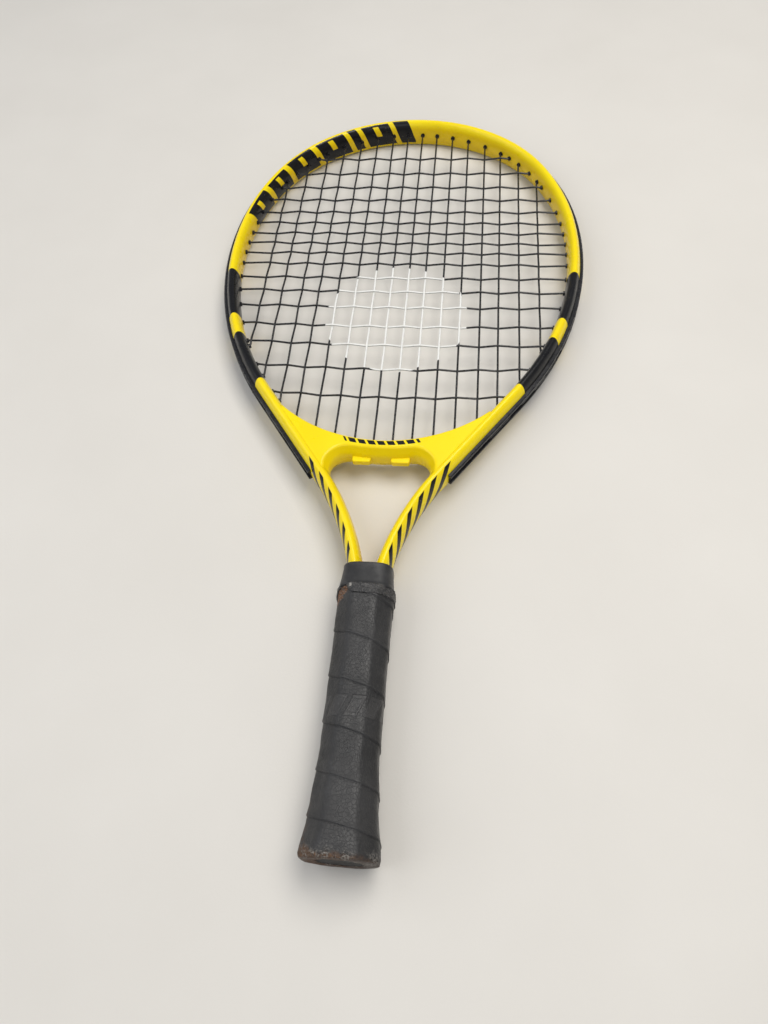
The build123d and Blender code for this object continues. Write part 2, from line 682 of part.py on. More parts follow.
def legs(clearance):
    """Both legs of the tube as solid bars, for the pieces that fit round them."""
    section = Ellipse(TUBE_HALF_WIDTH + clearance, TUBE_HALF_HEIGHT + clearance)
    start = HEAD_END + 20
    bar = swept(section, tube_wire(start, ALL_LENGTH), start)
    return [bar, mirrored(bar)]


def staple(side):
    """One wire staple, driven down through the cap's skirt into the handle."""
    z = side * (cap_half_height(STAPLE_Y) + STAPLE_WIRE)
    foot = z - side * STAPLE_DEPTH
    route = Polyline(
        (-STAPLE_HALF_CROWN, STAPLE_Y, foot), (-STAPLE_HALF_CROWN, STAPLE_Y, z),
        (STAPLE_HALF_CROWN, STAPLE_Y, z), (STAPLE_HALF_CROWN, STAPLE_Y, foot))
    section = Plane(origin=(-STAPLE_HALF_CROWN, STAPLE_Y, foot), z_dir=(0, 0, side))
    return sweep(section * Circle(STAPLE_WIRE), path=route, transition=Transition.RIGHT)


def cap_half_height(y):
    share = (y - CAP_FLARE_Y) / (CAP_NECK_Y - CAP_FLARE_Y)
    return CAP_FLARE_HALF_HEIGHT + (CAP_NECK_HALF_HEIGHT - CAP_FLARE_HALF_HEIGHT) * share


def staple_holes():
    """Room for the staples' legs and crowns."""
    holes = []
    for side in (-1, 1):
        middle_z = side * (cap_half_height(STAPLE_Y) - STAPLE_DEPTH / 2)
        for x in (-STAPLE_HALF_CROWN, STAPLE_HALF_CROWN):
            holes.append(Pos(x, STAPLE_Y, middle_z) * Cylinder(STAPLE_WIRE + FIT_GAP, STAPLE_DEPTH + 2))
    return holes


def handle_shell(side):
    """Half of the moulded handle: above the string plane for side 1, below it for side -1."""
    size = (HANDLE_HALF_WIDTH, HANDLE_HALF_HEIGHT, HANDLE_BEVEL)
    low = CAP_FLOOR + FIT_GAP
    shell = prism([(low, *size), (HANDLE_TOP_Y, *size)])
    keep = Box(60, 400, 60, align=(Align.CENTER, Align.CENTER, Align.MIN))
    if side < 0:
        keep = mirror(keep, about=Plane.XY)
    shell &= Pos(0, 0, side * FIT_GAP / 2) * keep
    shell -= legs(FIT_GAP)
    length = SPACER_HIGH_Y - SPACER_LOW_Y + 4 * FIT_GAP
    spacer_room = Box(2 * (spacer_half_width() + FIT_GAP), length, SPACER_HEIGHT + 4 * FIT_GAP)
    shell -= Pos(0, (SPACER_LOW_Y + SPACER_HIGH_Y) / 2, 0) * spacer_room
    return shell - staple_holes()


def spacer_half_width():
    """Half of the room between the legs' flattest parts inside the handle."""
    return middle(ALL_LENGTH)[0] - TUBE_HALF_WIDTH - 0.1


def leg_spacer():
    """Strip that keeps the two legs apart inside the handle."""
    length = SPACER_HIGH_Y - SPACER_LOW_Y
    spacer = Box(2 * spacer_half_width(), length, SPACER_HEIGHT)
    spacer = chamfer(spacer.edges().filter_by(Axis.Z), SPACER_CHAMFER)
    return Pos(0, (SPACER_LOW_Y + SPACER_HIGH_Y) / 2, 0) * spacer


CAP_SECTIONS = (
    (0.0, CAP_FLARE_HALF_WIDTH - 1.0, CAP_FLARE_HALF_HEIGHT - 1.0, CAP_BEVEL - 0.5),
    (1.5, CAP_FLARE_HALF_WIDTH, CAP_FLARE_HALF_HEIGHT, CAP_BEVEL),
    (CAP_FLARE_Y, CAP_FLARE_HALF_WIDTH, CAP_FLARE_HALF_HEIGHT, CAP_BEVEL),
    (CAP_NECK_Y, CAP_NECK_HALF_WIDTH, CAP_NECK_HALF_HEIGHT, CAP_NECK_BEVEL),
    (CAP_TOP_Y, CAP_NECK_HALF_WIDTH, CAP_NECK_HALF_HEIGHT, CAP_NECK_BEVEL),
)


def butt_cap():
    """Flared cup over the end of the handle."""
    cap = prism(CAP_SECTIONS)
    room = (HANDLE_HALF_WIDTH + FIT_GAP, HANDLE_HALF_HEIGHT + FIT_GAP, HANDLE_BEVEL)
    cap -= prism([(CAP_FLOOR, *room), (CAP_TOP_Y + 1, *room)])
    return cap - staple_holes()


def grown(sections, by):
    """Sections with every side moved out by the same amount."""
    return [(y, wide + by, high + by, bevel + BEVEL_GROWTH * by) for y, wide, high, bevel in sections]


def grip_tape():
    """Cushioned tape wound over the cap's skirt and up the handle, as one sleeve."""
    bare = (HANDLE_HALF_WIDTH, HANDLE_HALF_HEIGHT, HANDLE_BEVEL)
    inner = [(TAPE_START_Y, *CAP_SECTIONS[1][1:]), *CAP_SECTIONS[2:], (CAP_TOP_Y + 1.5, *bare)]
    inner = grown(inner, FIT_GAP) + grown([(TAPE_TOP_Y, *bare)], FIT_GAP)
    outer = grown(inner[:-2], TAPE)
    outer += grown([(TAPE_NECK_Y, *bare), (TAPE_SWELL_Y, *bare)], TAPE + FIT_GAP)
    outer += grown([(TAPE_TOP_Y, *bare)], TAPE + FIT_GAP + TAPE_TOP_GROWTH)
    room = Box(2 * STAPLE_HALF_CROWN + STAPLE_ROOM, STAPLE_ROOM, STAPLE_ROOM_HEIGHT)
    tape = prism(outer) - prism(inner)
    return tape - [Pos(0, STAPLE_Y, side * cap_half_height(STAPLE_Y)) * room for side in (-1, 1)]


def finishing_tape():
    """Thin sticky band that holds down the end of the grip."""
    bare = (HANDLE_HALF_WIDTH, HANDLE_HALF_HEIGHT, HANDLE_BEVEL)
    share = (BAND_LOW_Y - TAPE_SWELL_Y) / (TAPE_TOP_Y - TAPE_SWELL_Y)
    low = TAPE + FIT_GAP + TAPE_TOP_GROWTH * share
    high = TAPE + FIT_GAP + TAPE_TOP_GROWTH
    inner = grown([(BAND_LOW_Y, *bare)], low + FIT_GAP) + grown([(TAPE_TOP_Y, *bare)], high + FIT_GAP)
    return prism(grown(inner, BAND_THICKNESS)) - prism(inner)


def rubber_collar():
    """Stretched rubber sleeve round both legs, above the grip."""
    faces = []
    for y, (wide, high) in ((COLLAR_LOW_Y, COLLAR_LOW), (COLLAR_TOP_Y, COLLAR_TOP)):
        faces.append(at_y(RectangleRounded(2 * wide, 2 * high, COLLAR_CORNER_RADIUS), y))
    collar = loft(faces, ruled=True)
    rooms = []
    for y, (wide, high) in ((COLLAR_LOW_Y - 1, COLLAR_LOW), (COLLAR_TOP_Y + 1, COLLAR_TOP)):
        size = (2 * (wide - COLLAR_WALL), 2 * (high - COLLAR_WALL))
        rooms.append(at_y(RectangleRounded(*size, COLLAR_CORNER_RADIUS - COLLAR_WALL), y))
    collar -= loft(rooms, ruled=True)
    return collar - legs(FIT_GAP)


# ---------------------------------------------------------------- write the pieces
def build():
    return {
        "frame_tube": frame_tube(),
        "throat_yoke": throat_yoke(),
        "bumper_guard": bumper_guard(),
        "left_grommet_strip": left_grommet_strip(),
        "right_grommet_strip": right_grommet_strip(),
        "main_string": string_solid(main_points()),
        "cross_string": string_solid(cross_points()),
        "tie_off_knots": tie_off_knots(),
        "handle_shell_upper": handle_shell(1),
        "handle_shell_lower": handle_shell(-1),
        "leg_spacer": leg_spacer(),
        "butt_cap": butt_cap(),
        "butt_cap_staples": Compound(children=[staple(1), staple(-1)]),
        "grip_tape": grip_tape(),
        "finishing_tape": finishing_tape(),
        "rubber_collar": rubber_collar(),
    }


os.makedirs("parts", exist_ok=True)
for name, shape in build().items():
    export_step(shape, f"parts/{name}.step")
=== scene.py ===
"""Looks of a junior tennis racket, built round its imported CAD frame. The scene is in metres."""
import math
import bpy
from mathutils import Euler, Matrix, Vector, noise


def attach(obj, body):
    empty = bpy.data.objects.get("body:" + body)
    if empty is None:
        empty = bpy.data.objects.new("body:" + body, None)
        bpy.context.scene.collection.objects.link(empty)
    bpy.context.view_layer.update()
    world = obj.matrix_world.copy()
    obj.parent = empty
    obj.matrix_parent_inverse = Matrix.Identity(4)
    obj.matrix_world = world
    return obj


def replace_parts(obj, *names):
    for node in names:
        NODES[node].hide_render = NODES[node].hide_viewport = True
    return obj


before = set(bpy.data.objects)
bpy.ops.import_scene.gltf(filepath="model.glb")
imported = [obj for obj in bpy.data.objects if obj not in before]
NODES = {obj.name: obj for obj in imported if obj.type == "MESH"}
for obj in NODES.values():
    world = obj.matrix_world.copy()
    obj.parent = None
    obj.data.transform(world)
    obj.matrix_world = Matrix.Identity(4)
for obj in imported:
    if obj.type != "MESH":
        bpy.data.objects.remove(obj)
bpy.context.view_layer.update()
MM = 0.001                 # outlines and paint are worked out in mm, and scaled by this

# the tube's middle line on the right half, in mm, from the top of the head down into the handle
TUBE_TOP_Y = 527.4
RUNS = (
    # radius and turn to the right in degrees, or 0 and the length of a straight run
    (108.0, 62.0),
    (168.0, 20.0),
    (216.0, 43.5),
    (0.0, 72.0),
    (165.0, -21.5),
    (50.0, -14.0),
    (0.0, 108.5),
)
TUBE_HALF_WIDTH = 4.2
TUBE_HALF_HEIGHT = 9.7
YOKE_CENTRE_Y = 312.0
YOKE_RADIUS = 91.0


# ---------------------------------------------------------------- node helper
class Net:
    """A material and short ways to add nodes to it."""

    def __init__(self, name):
        self.material = bpy.data.materials.new(name)
        self.material.use_nodes = True
        self.tree = self.material.node_tree
        self.tree.nodes.clear()
        output = self.new("ShaderNodeOutputMaterial")
        self.shader = self.new("ShaderNodeBsdfPrincipled")
        self.put(output.inputs["Surface"], self.shader.outputs["BSDF"])
        self.place = self.vector("SCALE", self.new("ShaderNodeTexCoord").outputs["Object"], scale=1 / MM)
        self.x, self.y, self.z = self.split(self.place)

    def new(self, kind):
        return self.tree.nodes.new(kind)

    def put(self, socket, value):
        if isinstance(value, bpy.types.NodeSocket):
            self.tree.links.new(value, socket)
        else:
            socket.default_value = value

    def math(self, operation, first, second=0.0, third=0.0):
        node = self.new("ShaderNodeMath")
        node.operation = operation
        for socket, value in zip(node.inputs, (first, second, third)):
            self.put(socket, value)
        return node.outputs[0]

    def plus(self, base, value, weight=1.0):
        """base + value * weight"""
        return self.math("MULTIPLY_ADD", value, weight, base)

    def minus(self, first, second):
        return self.math("SUBTRACT", first, second)

    def times(self, first, second):
        return self.math("MULTIPLY", first, second)

    def total(self, *parts):
        """Sum of values, each given with its weight."""
        result = 0.0
        for value, weight in parts:
            result = self.plus(result, value, weight)
        return result

    def length(self, x, y):
        return self.math("SQRT", self.plus(self.times(x, x), y, y))

    def both(self, *shares):
        result = shares[0]
        for share in shares[1:]:
            result = self.times(result, share)
        return result

    def either(self, *shares):
        result = shares[0]
        for share in shares[1:]:
            result = self.math("MAXIMUM", result, share)
        return result

    def vector(self, operation, first, second=(0, 0, 0), scale=1.0):
        node = self.new("ShaderNodeVectorMath")
        node.operation = operation
        self.put(node.inputs[0], first)
        if operation == "SCALE":
            self.put(node.inputs["Scale"], scale)
        else:
            self.put(node.inputs[1], second)
        return node.outputs[0]

    def join(self, x, y, z):
        node = self.new("ShaderNodeCombineXYZ")
        for socket, value in zip(node.inputs, (x, y, z)):
            self.put(socket, value)
        return node.outputs[0]

    def split(self, vector):
        node = self.new("ShaderNodeSeparateXYZ")
        self.put(node.inputs[0], vector)
        return node.outputs

    def noise(self, scale, detail=3.0, roughness=0.55, vector=None, distortion=0.0):
        """Noise whose grain is about 1/scale mm."""
        node = self.new("ShaderNodeTexNoise")
        self.put(node.inputs["Vector"], vector or self.place)
        self.put(node.inputs["Scale"], scale)
        self.put(node.inputs["Detail"], detail)
        self.put(node.inputs["Roughness"], roughness)
        self.put(node.inputs["Distortion"], distortion)
        return node.outputs["Fac"]

    def cell_edges(self, scale):
        """Distance to the nearest edge of cells about 1/scale mm wide."""
        node = self.new("ShaderNodeTexVoronoi")
        node.feature = "DISTANCE_TO_EDGE"
        self.put(node.inputs["Vector"], self.place)
        self.put(node.inputs["Scale"], scale)
        return node.outputs["Distance"]

    def ramp(self, value, low, high, start=0.0, end=1.0):
        """Soft step from start, at low and below, to end, at high and above."""
        node = self.new("ShaderNodeMapRange")
        node.interpolation_type = "SMOOTHSTEP"
        for socket, number in zip(node.inputs, (value, low, high, start, end)):
            self.put(socket, number)
        return node.outputs[0]

    def fall(self, value, low, high):
        return self.ramp(value, low, high, 1.0, 0.0)

    def between(self, value, low, high, soft=0.12):
        """1 where value lies between low and high."""
        return self.both(self.ramp(value, low - soft, low + soft), self.fall(value, high - soft, high + soft))

    def beat(self, value, start, pitch):
        """Share of a pitch gone by since start, from 0 to 1 again and again."""
        return self.math("FRACT", self.math("DIVIDE", self.minus(value, start), pitch))

    def clouds(self, scale, detail, low, high, start=0.0, end=1.0, roughness=0.55):
        """Noise stretched from low..high to start..end."""
        return self.ramp(self.noise(scale, detail, roughness), low, high, start, end)

    def mix(self, share, first, second):
        node = self.new("ShaderNodeMix")
        node.data_type = "RGBA"
        self.put(node.inputs[0], share)
        self.put(node.inputs[6], first)
        self.put(node.inputs[7], second)
        return node.outputs[2]

    def bump(self, height, distance):
        """Bump from a height in parts of the given distance, in mm."""
        node = self.new("ShaderNodeBump")
        self.put(node.inputs["Height"], height)
        self.put(node.inputs["Strength"], 1.0)
        self.put(node.inputs["Distance"], distance * MM)
        self.put(self.shader.inputs["Normal"], node.outputs[0])

    def finish(self, colour, rough, **fixed):
        self.put(self.shader.inputs["Base Color"], colour)
        self.put(self.shader.inputs["Roughness"], rough)
        for name, value in fixed.items():
            self.put(self.shader.inputs[name.replace("_", " ")], value)
        return self.material


def along_tube(net):
    """Distance along the tube, distance out from its middle line, and angle round its section in degrees.

    The angle is 0 on the outside of the hoop, 90 on top and 180 towards the strings."""
    across = net.math("ABSOLUTE", net.x)
    x, y, heading = 0.0, TUBE_TOP_Y, 0.0
    passed = 0.0
    distance = out = None
    for radius, extent in RUNS:
        sine, cosine = math.sin(heading), math.cos(heading)
        dx = net.minus(across, x)
        dy = net.minus(net.y, y)
        ahead = net.minus(net.times(dx, cosine), net.times(dy, sine))
        if radius:
            side = math.copysign(1.0, extent)
            centre_x = x - side * radius * sine
            centre_y = y - side * radius * cosine
            from_x = net.minus(across, centre_x)
            from_y = net.minus(net.y, centre_y)
            here_out = net.times(net.minus(net.length(from_x, from_y), radius), side)
            turned = net.math("ARCTAN2", net.times(from_x, side), net.times(from_y, side))
            here = net.plus(passed, net.minus(turned, heading), side * radius)
            heading += math.radians(extent)
            x = centre_x + side * radius * math.sin(heading)
            y = centre_y + side * radius * math.cos(heading)
            passed += radius * math.radians(abs(extent))
        else:
            here_out = net.plus(net.times(dx, sine), dy, cosine)
            here = net.plus(ahead, passed)
            x += extent * cosine
            y -= extent * sine
            passed += extent
        if distance is None:
            distance, out = here, here_out
        else:
            past = net.math("GREATER_THAN", ahead, 0.0)
            distance = net.plus(distance, past, net.minus(here, distance))
            out = net.plus(out, past, net.minus(here_out, out))
    tall = net.math("DIVIDE", net.z, TUBE_HALF_HEIGHT)
    wide = net.math("DIVIDE", out, TUBE_HALF_WIDTH)
    return distance, out, net.times(net.math("ARCTAN2", tall, wide), 180 / math.pi)


def scratches(net, along, across, length, width, amount, seed):
    """Sparse fine scratches: 1 on a scratch. They run roughly along the first coordinate."""
    warp = net.plus(across, net.noise(0.05, 1.0), 6.0)
    lie = net.join(net.math("DIVIDE", along, length), net.math("DIVIDE", warp, width), seed)
    return net.ramp(net.noise(1.0, 1.0, 0.5, vector=lie), 1.0 - amount, 1.03 - amount)


def wear_spots(net, scale, amount, seed):
    """Small chips and rubbed spots: 1 inside a spot."""
    lie = net.vector("ADD", net.place, (seed, seed * 2.0, seed * 3.0))
    large = net.ramp(net.noise(scale * 0.12, 2.0, vector=lie), 0.55, 0.70)
    small = net.ramp(net.noise(scale, 4.0, 0.7, vector=lie), 1.0 - amount, 1.03 - amount)
    return net.both(large, small)


# ---------------------------------------------------------------- paint; places in mm, angles in degrees
YELLOW = (0.88, 0.68, 0.003, 1)
YELLOW_DEEP = (0.80, 0.57, 0.002, 1)
YELLOW_SHADED = (0.62, 0.34, 0.004, 1)
YELLOW_WORN = (0.45, 0.33, 0.05, 1)
INK = (0.005, 0.005, 0.006, 1)
INK_WORN = (0.22, 0.21, 0.20, 1)
GLOSS = {"Coat_Weight": 0.20, "Coat_Roughness": 0.10, "Specular_IOR_Level": 0.20}

BLACK_SPANS = ((230.3, 272.9), (290.4, 333.6))     # black stretches, as distances along the tube
BLOCKS = (
    # distance along the tube from and to, angle of the upper edge, with a slit or not
    (4.0, 16.0, 96.0, False),
    (20.0, 42.0, 104.0, True),
    (46.0, 53.0, 96.0, False),
    (57.0, 82.0, 104.0, True),
    (87.0, 112.0, 98.0, True),
    (117.0, 139.0, 106.0, True),
    (144.0, 171.0, 98.0, True),
)
BLOCK_LEAN = 0.06          # mm along the tube for each degree round it
BLOCK_LEAN_FROM = 140.0
BLOCK_LOW_EDGE = 224.0
BLOCK_SOFT = 0.15
SLIT_HALF_WIDTH = 2.2
SLIT_ANGLES = (120.0, 172.0)

SLASH_SPAN = (408.0, 481.0)
SLASH_ANGLES = (-64.0, 74.0)
SLASH_START, SLASH_PITCH = 400.0, 12.2
SLASH_SHARE = (0.115, 0.565)
SLASH_LEAN = 0.16

DASH_SPAN = (-23.0, 20.6)
DASH_DEPTH = (1.1, 3.9)    # distance from the yoke's string side
DASH_START, DASH_PITCH = -60.0, 5.6
DASH_SHARE = (0.115, 0.855)
DASH_LEAN = -0.55
DASH_LOWEST = 3.0
BEAT_SOFT = 0.015
ANGLE_SOFT = 1.5


def yellow_paint(net):
    """The yellow of the frame, with faint cloudiness."""
    cloud = net.clouds(0.035, 2.0, 0.35, 0.7)
    return net.mix(net.times(cloud, 0.35), YELLOW, YELLOW_DEEP)


def paint_roughness(net):
    return net.clouds(0.06, 3.0, 0.3, 0.75, 0.24, 0.40)


def slanted_blocks(net, distance, angle):
    """Slanted blocks on the upper left, from the ridge down the inner wall, some with a slit."""
    lean = net.plus(distance, net.minus(angle, BLOCK_LEAN_FROM), BLOCK_LEAN)
    blocks = 0.0
    for start, end, top, slit in BLOCKS:
        block = net.both(net.between(lean, start, end, BLOCK_SOFT), net.ramp(angle, top - 1.0, top + 1.0))
        if slit:
            middle = (start + end) / 2
            gap = net.both(
                net.between(lean, middle - SLIT_HALF_WIDTH, middle + SLIT_HALF_WIDTH, BLOCK_SOFT),
                net.between(angle, *SLIT_ANGLES, ANGLE_SOFT))
            block = net.both(block, net.minus(1.0, gap))
        blocks = net.either(blocks, block)
    left = net.math("LESS_THAN", net.x, 0.0)
    return net.both(blocks, left, net.fall(angle, BLOCK_LOW_EDGE - 2.0, BLOCK_LOW_EDGE + 2.0))


def leg_slashes(net, distance, angle):
    """Long slashes down the outer face of each leg."""
    run = net.plus(distance, angle, SLASH_LEAN)
    beat = net.beat(run, SLASH_START, SLASH_PITCH)
    return net.both(
        net.between(beat, *SLASH_SHARE, BEAT_SOFT),
        net.between(run, *SLASH_SPAN),
        net.between(angle, *SLASH_ANGLES, ANGLE_SOFT))


def frame_paint():
    """Yellow and black paint of the tube, with slanted blocks on the upper left and slashes on the legs."""
    net = Net("frame_paint")
    distance, _, angle = along_tube(net)
    round_turn = net.plus(angle, net.math("LESS_THAN", angle, -90.0), 360.0)
    black = net.either(*[net.between(distance, start, end) for start, end in BLACK_SPANS])
    ink = net.either(black, slanted_blocks(net, distance, round_turn), leg_slashes(net, distance, angle))
    colour = net.mix(ink, yellow_paint(net), INK)

    # painted shade darkens the inner wall; rubbed spots and scratches are everywhere
    inner = net.both(net.ramp(round_turn, 125.0, 160.0), net.fall(round_turn, 215.0, 250.0), 0.45)
    colour = net.mix(inner, colour, net.mix(ink, YELLOW_SHADED, INK))
    lines = scratches(net, distance, angle, 7.0, 1.6, 0.27, 3.0)
    chips = wear_spots(net, 0.9, 0.40, 5.0)
    scuffs = net.both(net.either(lines, chips), net.clouds(0.03, 2.0, 0.45, 0.62))
    colour = net.mix(net.both(scuffs, ink, 0.55), colour, INK_WORN)
    colour = net.mix(net.both(scuffs, 0.35), colour, YELLOW_WORN)

    net.bump(net.total((net.noise(0.55, 2.0), 0.5), (black, 0.6), (scuffs, -0.8)), 0.05)
    return net.finish(colour, net.plus(paint_roughness(net), scuffs, 0.3), **GLOSS)


def yoke_paint():
    """Yellow moulded bridge with a broken dark band on its string side, and a seam round its middle."""
    net = Net("yoke_paint")
    depth = net.minus(net.length(net.x, net.minus(net.y, YOKE_CENTRE_Y)), YOKE_RADIUS)
    lean = net.plus(net.x, depth, DASH_LEAN)
    beat = net.beat(lean, DASH_START, DASH_PITCH)
    dashes = net.both(
        net.between(lean, *DASH_SPAN),
        net.between(depth, *DASH_DEPTH),
        net.math("GREATER_THAN", net.z, DASH_LOWEST),
        net.between(beat, *DASH_SHARE, BEAT_SOFT))
    colour = net.mix(dashes, yellow_paint(net), INK)
    chips = wear_spots(net, 0.9, 0.40, 11.0)
    colour = net.mix(net.both(chips, 0.35), colour, YELLOW_WORN)
    seam = net.fall(net.math("ABSOLUTE", net.z), 0.04, 0.20)
    net.bump(net.total((net.noise(0.45, 2.0), 0.5), (seam, 1.5)), 0.05)
    return net.finish(colour, paint_roughness(net), **GLOSS)


# ---------------------------------------------------------------- strips, strings and collar
STRIP_BLACK = (0.012, 0.012, 0.014, 1)
STRIP_DUST = (0.20, 0.18, 0.15, 1)
STRIP_WORN = (0.13, 0.13, 0.135, 1)
STRING_BLACK = (0.010, 0.010, 0.011, 1)
STRING_DUST = (0.20, 0.19, 0.18, 1)
STRING_WHITE = (0.78, 0.78, 0.75, 1)
DISC_CENTRE_Y = 326.0
DISC_EDGE = (47.2, 47.8)
RUBBER_BLACK = (0.011, 0.011, 0.012, 1)
RUBBER_BLOOM = (0.050, 0.048, 0.047, 1)
RUBBER_DUST = (0.17, 0.15, 0.13, 1)


def strip_plastic():
    """Black nylon of the guard and the grommet strips: glossy, scraped on the outside of the head."""
    net = Net("strip_plastic")
    distance, out, _ = along_tube(net)
    outside = net.both(net.ramp(out, 5.2, 5.8), net.ramp(distance, 10.0, 95.0, 1.0, 0.25))
    scrape = net.both(scratches(net, distance, net.z, 5.0, 0.35, 0.42, 1.0), outside)
    chips = net.both(wear_spots(net, 1.4, 0.47, 2.0), net.ramp(out, 4.9, 5.6))
    worn = net.either(scrape, chips)
    dust = net.clouds(0.5, 5.0, 0.50, 0.72, roughness=0.7)
    colour = net.mix(net.times(dust, 0.10), STRIP_BLACK, STRIP_DUST)
    colour = net.mix(net.times(worn, 0.45), colour, STRIP_WORN)
    rough = net.plus(net.clouds(0.12, 3.0, 0.3, 0.7, 0.18, 0.32), worn, 0.35)
    net.bump(net.total((net.noise(2.2, 3.0), 0.25), (worn, -1.0)), 0.06)
    return net.finish(colour, rough, IOR=1.42)


def string_material():
    """Black monofilament with a worn white disc stencilled on the lower half of the bed."""
    net = Net("string_material")
    reach = net.length(net.x, net.minus(net.y, DISC_CENTRE_Y))
    disc = net.fall(net.plus(reach, net.noise(0.5, 2.0), 2.0), *DISC_EDGE)
    facing = net.split(net.new("ShaderNodeNewGeometry").outputs["Normal"])
    sprayed = net.ramp(net.math("ABSOLUTE", facing[2]), 0.05, 0.35)
    kept = net.clouds(1.7, 4.0, 0.30, 0.40, roughness=0.75)
    white = net.both(disc, sprayed, kept)
    dust = net.clouds(0.9, 5.0, 0.52, 0.75, roughness=0.7)
    colour = net.mix(net.times(dust, 0.22), STRING_BLACK, STRING_DUST)
    colour = net.mix(white, colour, STRING_WHITE)
    rough = net.plus(net.clouds(0.8, 3.0, 0.3, 0.7, 0.22, 0.40), white, 0.25)
    net.bump(net.total((net.noise(5.0, 3.0), 0.4), (white, 1.0)), 0.03)
    return net.finish(colour, rough, IOR=1.53)


def collar_rubber():
    """Smooth black rubber with a faint bloom and specks of dust."""
    net = Net("collar_rubber")
    bloom = net.clouds(0.12, 4.0, 0.40, 0.75, roughness=0.6)
    colour = net.mix(net.times(bloom, 0.35), RUBBER_BLACK, RUBBER_BLOOM)
    dust = net.clouds(1.6, 5.0, 0.62, 0.72, roughness=0.75)
    colour = net.mix(net.times(dust, 0.25), colour, RUBBER_DUST)
    net.bump(net.total((net.noise(3.0, 4.0), 0.4), (net.noise(0.35, 2.0), 0.8)), 0.08)
    return net.finish(colour, net.clouds(0.2, 3.0, 0.3, 0.7, 0.42, 0.58), IOR=1.5, Sheen_Weight=0.05)


# ---------------------------------------------------------------- grip cover and film
COVER_DARK = (0.009, 0.0088, 0.0090, 1)
COVER_LIGHT = (0.024, 0.0235, 0.024, 1)
COVER_LIT_TOP = (0.036, 0.035, 0.035, 1)
COVER_CREASE_SHADE = (0.006, 0.006, 0.006, 1)
COVER_PANEL = (0.060, 0.058, 0.057, 1)
TAN_DARK, TAN_LIGHT = (0.045, 0.020, 0.009, 1), (0.120, 0.062, 0.030, 1)
TORN_DARK, TORN_LIGHT = (0.030, 0.011, 0.005, 1), (0.230, 0.090, 0.026, 1)
FRAYED_SPECK = (0.30, 0.28, 0.25, 1)
FILM_DARK, FILM_FOLD_HIGHLIGHT = (0.012, 0.012, 0.013, 1), (0.060, 0.057, 0.054, 1)
FILM_DUST = (0.19, 0.17, 0.15, 1)
FILM_BACKING = (0.34, 0.32, 0.29, 1)

HANDLE_RADIUS = 14.1
PANEL_ARC = (-17.0, 21.0)  # distance round the handle from its top
PANEL_START, PANEL_PITCH = -41.0, 9.6
PANEL_MIDDLE_Y = 66.0
PANEL_LEAN = -0.45
PANEL_Y, PANEL_SHARE = (60.5, 70.5), (0.12, 0.84)
INSET_Y, INSET_SHARE = (62.2, 68.8), (0.24, 0.72)
PANEL_SOFT = 0.3
PANEL_BEAT_SOFT = 0.02


def worn_places(net):
    """Shares of the butt's rim, the left edge above it, the torn upper left corner and the frayed parts."""
    left = net.fall(net.x, -16.5, -8.0)
    low = net.plus(net.y, net.noise(0.35, 4.0, 0.7), -7.0)
    rim = net.both(net.fall(net.plus(low, left, -3.0), -3.4, -0.9), net.ramp(net.x, -4.0, 12.0, 1.0, 0.45))
    edge = net.both(
        left,
        net.ramp(net.math("ABSOLUTE", net.x), 13.0, 16.0),
        net.fall(net.y, 14.0, 46.0),
        net.clouds(0.3, 4.0, 0.34, 0.58))
    tear_y = net.total((140.0, 1.0), (net.noise(0.45, 5.0, 0.7), -11.0), (net.x, 1.25))
    corner = net.both(
        net.ramp(net.minus(net.y, tear_y), -1.0, 1.8),
        net.ramp(net.y, 115.0, 120.0),
        net.fall(net.x, -8.5, -5.5),
        net.math("GREATER_THAN", net.z, -2.0))
    frayed_rim = net.both(net.fall(low, -2.4, 2.2), net.clouds(0.13, 2.0, 0.42, 0.58))
    return rim, edge, corner, net.either(frayed_rim, net.both(corner, 0.4))


def embossed_panels(net):
    """Slanted panels on the third turn of the cover: their share, and their height with a sunk middle."""
    arc = net.times(net.math("ARCTAN2", net.x, net.z), HANDLE_RADIUS)
    slant = net.plus(arc, net.minus(net.y, PANEL_MIDDLE_Y), PANEL_LEAN)
    beat = net.beat(slant, PANEL_START, PANEL_PITCH)
    shares = []
    for share, stretch in ((PANEL_SHARE, PANEL_Y), (INSET_SHARE, INSET_Y)):
        shares.append(net.both(
            net.between(beat, *share, PANEL_BEAT_SOFT),
            net.between(net.y, *stretch, PANEL_SOFT),
            net.between(arc, *PANEL_ARC, PANEL_SOFT)))
    panel, inset = shares
    return panel, net.plus(panel, inset, -0.7)


